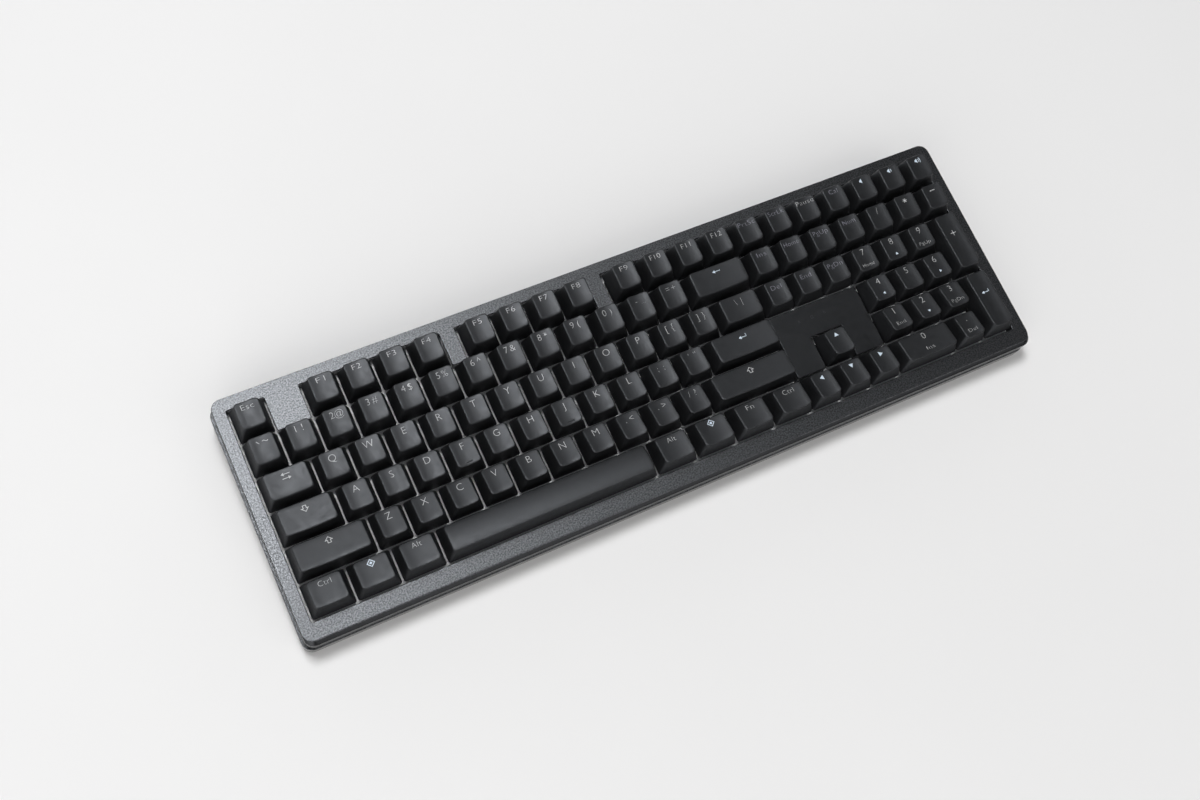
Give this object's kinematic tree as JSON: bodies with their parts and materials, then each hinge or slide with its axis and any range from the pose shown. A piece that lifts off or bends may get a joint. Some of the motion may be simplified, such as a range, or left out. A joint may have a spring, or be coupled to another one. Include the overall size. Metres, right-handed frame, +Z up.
{
  "type": "mechanical keyboard",
  "caption": "Full-size mechanical keyboard with sculpted sliding keys in a shallow two-part case on rear risers, stabiliser wires and fold-out rear feet.",
  "frame": {"origin": "on the desk, under the middle of the keyboard outline", "axes": "+X to the right along the key rows, +Y from the typist to the rear, +Z up from the desk; the deck is tilted 5.5 degrees about X"},
  "size_m": [0.435, 0.1346, 0.0423],
  "materials": {
    "keycap_plastic": "fine matte texture, near-black",
    "case_plastic": "fine matte grain, near-black",
    "base_plastic": "matte moulded texture",
    "plate_paint": "white powder coat",
    "switch_plastic": "satin black nylon",
    "board_lacquer": "solder mask",
    "wire_steel": "drawn wire",
    "socket_steel": "stamped shell",
    "pad_rubber": "matte"
  },
  "bodies": {
    "body": {"bottom_case": "base_plastic", "circuit_board": "board_lacquer", "nav_cover": "case_plastic", "pad_front_left": "pad_rubber", "pad_front_right": "pad_rubber", "pad_rear_left": "pad_rubber", "pad_rear_right": "pad_rubber", "switch_housings": "switch_plastic", "switch_plate": "plate_paint", "top_case": "case_plastic", "usb_c_socket": "socket_steel"},
    "flip_foot_left": {"flip_foot_left": "base_plastic"},
    "flip_foot_right": {"flip_foot_right": "base_plastic"},
    "key_a": {"key_a": "keycap_plastic"},
    "key_b": {"key_b": "keycap_plastic"},
    "key_c": {"key_c": "keycap_plastic"},
    "key_caps_lock": {"key_caps_lock": "keycap_plastic"},
    "key_d": {"key_d": "keycap_plastic"},
    "key_e": {"key_e": "keycap_plastic"},
    "key_enter": {"key_enter": "keycap_plastic"},
    "key_esc": {"key_esc": "keycap_plastic"},
    "key_f": {"key_f": "keycap_plastic"},
    "key_g": {"key_g": "keycap_plastic"},
    "key_h": {"key_h": "keycap_plastic"},
    "key_i": {"key_i": "keycap_plastic"},
    "key_j": {"key_j": "keycap_plastic"},
    "key_k": {"key_k": "keycap_plastic"},
    "key_l": {"key_l": "keycap_plastic"},
    "key_left_shift": {"key_left_shift": "keycap_plastic"},
    "key_m": {"key_m": "keycap_plastic"},
    "key_n": {"key_n": "keycap_plastic"},
    "key_o": {"key_o": "keycap_plastic"},
    "key_p": {"key_p": "keycap_plastic"},
    "key_q": {"key_q": "keycap_plastic"},
    "key_r": {"key_r": "keycap_plastic"},
    "key_right_shift": {"key_right_shift": "keycap_plastic"},
    "key_s": {"key_s": "keycap_plastic"},
    "key_space": {"key_space": "keycap_plastic"},
    "key_t": {"key_t": "keycap_plastic"},
    "key_tab": {"key_tab": "keycap_plastic"},
    "key_u": {"key_u": "keycap_plastic"},
    "key_v": {"key_v": "keycap_plastic"},
    "key_w": {"key_w": "keycap_plastic"},
    "key_x": {"key_x": "keycap_plastic"},
    "key_y": {"key_y": "keycap_plastic"},
    "key_z": {"key_z": "keycap_plastic"},
    "keys_arrows": {"keys_arrows": "keycap_plastic"},
    "keys_function_left": {"keys_function_left": "keycap_plastic"},
    "keys_function_middle": {"keys_function_middle": "keycap_plastic"},
    "keys_function_right": {"keys_function_right": "keycap_plastic"},
    "keys_left_modifiers": {"keys_left_modifiers": "keycap_plastic"},
    "keys_navigation": {"keys_navigation": "keycap_plastic"},
    "keys_number_row": {"keys_number_row": "keycap_plastic"},
    "keys_numpad": {"keys_numpad": "keycap_plastic"},
    "keys_punctuation": {"keys_punctuation": "keycap_plastic"},
    "keys_right_modifiers": {"keys_right_modifiers": "keycap_plastic"},
    "wire_enter": {"wire_enter": "wire_steel"},
    "wire_left_shift": {"wire_left_shift": "wire_steel"},
    "wire_right_shift": {"wire_right_shift": "wire_steel"},
    "wire_space": {"wire_space": "wire_steel"}
  },
  "joints": [
    {"name": "flip_foot_left_fold", "type": "hinge", "parent": "body", "child": "flip_foot_left", "pos_m": [-0.18555, 0.04542, 0.01315], "axis": [1, 0, 0], "range_deg": [0, 85]},
    {"name": "flip_foot_right_fold", "type": "hinge", "parent": "body", "child": "flip_foot_right", "pos_m": [0.18555, 0.04542, 0.01315], "axis": [1, 0, 0], "range_deg": [0, 85]},
    {"name": "a_press", "type": "slide", "parent": "body", "child": "key_a", "axis": [0, 0.0958, -0.9954], "range_m": [0, 0.004], "stiffness_N_per_m": 75, "springref_m": -0.004},
    {"name": "b_press", "type": "slide", "parent": "body", "child": "key_b", "axis": [0, 0.0958, -0.9954], "range_m": [0, 0.004], "stiffness_N_per_m": 75, "springref_m": -0.004},
    {"name": "c_press", "type": "slide", "parent": "body", "child": "key_c", "axis": [0, 0.0958, -0.9954], "range_m": [0, 0.004], "stiffness_N_per_m": 75, "springref_m": -0.004},
    {"name": "caps_lock_press", "type": "slide", "parent": "body", "child": "key_caps_lock", "axis": [0, 0.0958, -0.9954], "range_m": [0, 0.004], "stiffness_N_per_m": 75, "springref_m": -0.004},
    {"name": "d_press", "type": "slide", "parent": "body", "child": "key_d", "axis": [0, 0.0958, -0.9954], "range_m": [0, 0.004], "stiffness_N_per_m": 75, "springref_m": -0.004},
    {"name": "e_press", "type": "slide", "parent": "body", "child": "key_e", "axis": [0, 0.0958, -0.9954], "range_m": [0, 0.004], "stiffness_N_per_m": 75, "springref_m": -0.004},
    {"name": "enter_press", "type": "slide", "parent": "body", "child": "key_enter", "axis": [0, 0.0958, -0.9954], "range_m": [0, 0.004], "stiffness_N_per_m": 75, "springref_m": -0.004},
    {"name": "esc_press", "type": "slide", "parent": "body", "child": "key_esc", "axis": [0, 0.0958, -0.9954], "range_m": [0, 0.004], "stiffness_N_per_m": 75, "springref_m": -0.004},
    {"name": "f_press", "type": "slide", "parent": "body", "child": "key_f", "axis": [0, 0.0958, -0.9954], "range_m": [0, 0.004], "stiffness_N_per_m": 75, "springref_m": -0.004},
    {"name": "g_press", "type": "slide", "parent": "body", "child": "key_g", "axis": [0, 0.0958, -0.9954], "range_m": [0, 0.004], "stiffness_N_per_m": 75, "springref_m": -0.004},
    {"name": "h_press", "type": "slide", "parent": "body", "child": "key_h", "axis": [0, 0.0958, -0.9954], "range_m": [0, 0.004], "stiffness_N_per_m": 75, "springref_m": -0.004},
    {"name": "i_press", "type": "slide", "parent": "body", "child": "key_i", "axis": [0, 0.0958, -0.9954], "range_m": [0, 0.004], "stiffness_N_per_m": 75, "springref_m": -0.004},
    {"name": "j_press", "type": "slide", "parent": "body", "child": "key_j", "axis": [0, 0.0958, -0.9954], "range_m": [0, 0.004], "stiffness_N_per_m": 75, "springref_m": -0.004},
    {"name": "k_press", "type": "slide", "parent": "body", "child": "key_k", "axis": [0, 0.0958, -0.9954], "range_m": [0, 0.004], "stiffness_N_per_m": 75, "springref_m": -0.004},
    {"name": "l_press", "type": "slide", "parent": "body", "child": "key_l", "axis": [0, 0.0958, -0.9954], "range_m": [0, 0.004], "stiffness_N_per_m": 75, "springref_m": -0.004},
    {"name": "left_shift_press", "type": "slide", "parent": "body", "child": "key_left_shift", "axis": [0, 0.0958, -0.9954], "range_m": [0, 0.004], "stiffness_N_per_m": 75, "springref_m": -0.004},
    {"name": "m_press", "type": "slide", "parent": "body", "child": "key_m", "axis": [0, 0.0958, -0.9954], "range_m": [0, 0.004], "stiffness_N_per_m": 75, "springref_m": -0.004},
    {"name": "n_press", "type": "slide", "parent": "body", "child": "key_n", "axis": [0, 0.0958, -0.9954], "range_m": [0, 0.004], "stiffness_N_per_m": 75, "springref_m": -0.004},
    {"name": "o_press", "type": "slide", "parent": "body", "child": "key_o", "axis": [0, 0.0958, -0.9954], "range_m": [0, 0.004], "stiffness_N_per_m": 75, "springref_m": -0.004},
    {"name": "p_press", "type": "slide", "parent": "body", "child": "key_p", "axis": [0, 0.0958, -0.9954], "range_m": [0, 0.004], "stiffness_N_per_m": 75, "springref_m": -0.004},
    {"name": "q_press", "type": "slide", "parent": "body", "child": "key_q", "axis": [0, 0.0958, -0.9954], "range_m": [0, 0.004], "stiffness_N_per_m": 75, "springref_m": -0.004},
    {"name": "r_press", "type": "slide", "parent": "body", "child": "key_r", "axis": [0, 0.0958, -0.9954], "range_m": [0, 0.004], "stiffness_N_per_m": 75, "springref_m": -0.004},
    {"name": "right_shift_press", "type": "slide", "parent": "body", "child": "key_right_shift", "axis": [0, 0.0958, -0.9954], "range_m": [0, 0.004], "stiffness_N_per_m": 75, "springref_m": -0.004},
    {"name": "s_press", "type": "slide", "parent": "body", "child": "key_s", "axis": [0, 0.0958, -0.9954], "range_m": [0, 0.004], "stiffness_N_per_m": 75, "springref_m": -0.004},
    {"name": "space_press", "type": "slide", "parent": "body", "child": "key_space", "axis": [0, 0.0958, -0.9954], "range_m": [0, 0.004], "stiffness_N_per_m": 75, "springref_m": -0.004},
    {"name": "t_press", "type": "slide", "parent": "body", "child": "key_t", "axis": [0, 0.0958, -0.9954], "range_m": [0, 0.004], "stiffness_N_per_m": 75, "springref_m": -0.004},
    {"name": "tab_press", "type": "slide", "parent": "body", "child": "key_tab", "axis": [0, 0.0958, -0.9954], "range_m": [0, 0.004], "stiffness_N_per_m": 75, "springref_m": -0.004},
    {"name": "u_press", "type": "slide", "parent": "body", "child": "key_u", "axis": [0, 0.0958, -0.9954], "range_m": [0, 0.004], "stiffness_N_per_m": 75, "springref_m": -0.004},
    {"name": "v_press", "type": "slide", "parent": "body", "child": "key_v", "axis": [0, 0.0958, -0.9954], "range_m": [0, 0.004], "stiffness_N_per_m": 75, "springref_m": -0.004},
    {"name": "w_press", "type": "slide", "parent": "body", "child": "key_w", "axis": [0, 0.0958, -0.9954], "range_m": [0, 0.004], "stiffness_N_per_m": 75, "springref_m": -0.004},
    {"name": "x_press", "type": "slide", "parent": "body", "child": "key_x", "axis": [0, 0.0958, -0.9954], "range_m": [0, 0.004], "stiffness_N_per_m": 75, "springref_m": -0.004},
    {"name": "y_press", "type": "slide", "parent": "body", "child": "key_y", "axis": [0, 0.0958, -0.9954], "range_m": [0, 0.004], "stiffness_N_per_m": 75, "springref_m": -0.004},
    {"name": "z_press", "type": "slide", "parent": "body", "child": "key_z", "axis": [0, 0.0958, -0.9954], "range_m": [0, 0.004], "stiffness_N_per_m": 75, "springref_m": -0.004},
    {"name": "arrows_press", "type": "slide", "parent": "body", "child": "keys_arrows", "axis": [0, 0.0958, -0.9954], "range_m": [0, 0.004], "stiffness_N_per_m": 300, "springref_m": -0.004},
    {"name": "function_left_press", "type": "slide", "parent": "body", "child": "keys_function_left", "axis": [0, 0.0958, -0.9954], "range_m": [0, 0.004], "stiffness_N_per_m": 300, "springref_m": -0.004},
    {"name": "function_middle_press", "type": "slide", "parent": "body", "child": "keys_function_middle", "axis": [0, 0.0958, -0.9954], "range_m": [0, 0.004], "stiffness_N_per_m": 300, "springref_m": -0.004},
    {"name": "function_right_press", "type": "slide", "parent": "body", "child": "keys_function_right", "axis": [0, 0.0958, -0.9954], "range_m": [0, 0.004], "stiffness_N_per_m": 825, "springref_m": -0.004},
    {"name": "left_modifiers_press", "type": "slide", "parent": "body", "child": "keys_left_modifiers", "axis": [0, 0.0958, -0.9954], "range_m": [0, 0.004], "stiffness_N_per_m": 225, "springref_m": -0.004},
    {"name": "navigation_press", "type": "slide", "parent": "body", "child": "keys_navigation", "axis": [0, 0.0958, -0.9954], "range_m": [0, 0.004], "stiffness_N_per_m": 450, "springref_m": -0.004},
    {"name": "number_row_press", "type": "slide", "parent": "body", "child": "keys_number_row", "axis": [0, 0.0958, -0.9954], "range_m": [0, 0.004], "stiffness_N_per_m": 1050, "springref_m": -0.004},
    {"name": "numpad_press", "type": "slide", "parent": "body", "child": "keys_numpad", "axis": [0, 0.0958, -0.9954], "range_m": [0, 0.004], "stiffness_N_per_m": 1275, "springref_m": -0.004},
    {"name": "punctuation_press", "type": "slide", "parent": "body", "child": "keys_punctuation", "axis": [0, 0.0958, -0.9954], "range_m": [0, 0.004], "stiffness_N_per_m": 600, "springref_m": -0.004},
    {"name": "right_modifiers_press", "type": "slide", "parent": "body", "child": "keys_right_modifiers", "axis": [0, 0.0958, -0.9954], "range_m": [0, 0.004], "stiffness_N_per_m": 300, "springref_m": -0.004},
    {"name": "wire_enter_turn", "type": "hinge", "parent": "body", "child": "wire_enter", "pos_m": [0.05477, -0.0003, 0.0187], "axis": [1, 0, 0], "range_deg": [0, 28.5]},
    {"name": "wire_left_shift_turn", "type": "hinge", "parent": "body", "child": "wire_left_shift", "pos_m": [-0.18812, -0.01926, 0.01687], "axis": [1, 0, 0], "range_deg": [0, 28.5]},
    {"name": "wire_right_shift_turn", "type": "hinge", "parent": "body", "child": "wire_right_shift", "pos_m": [0.05001, -0.01926, 0.01687], "axis": [1, 0, 0], "range_deg": [0, 28.5]},
    {"name": "wire_space_turn", "type": "hinge", "parent": "body", "child": "wire_space", "pos_m": [-0.07858, -0.03822, 0.01505], "axis": [1, 0, 0], "range_deg": [0, 28.5]}
  ],
  "couplings": [
    {"joint": "wire_enter_turn", "follows": "enter_press", "rad_per_m": 124},
    {"joint": "wire_left_shift_turn", "follows": "left_shift_press", "rad_per_m": 124},
    {"joint": "wire_right_shift_turn", "follows": "right_shift_press", "rad_per_m": 124},
    {"joint": "wire_space_turn", "follows": "space_press", "rad_per_m": 124}
  ]
}
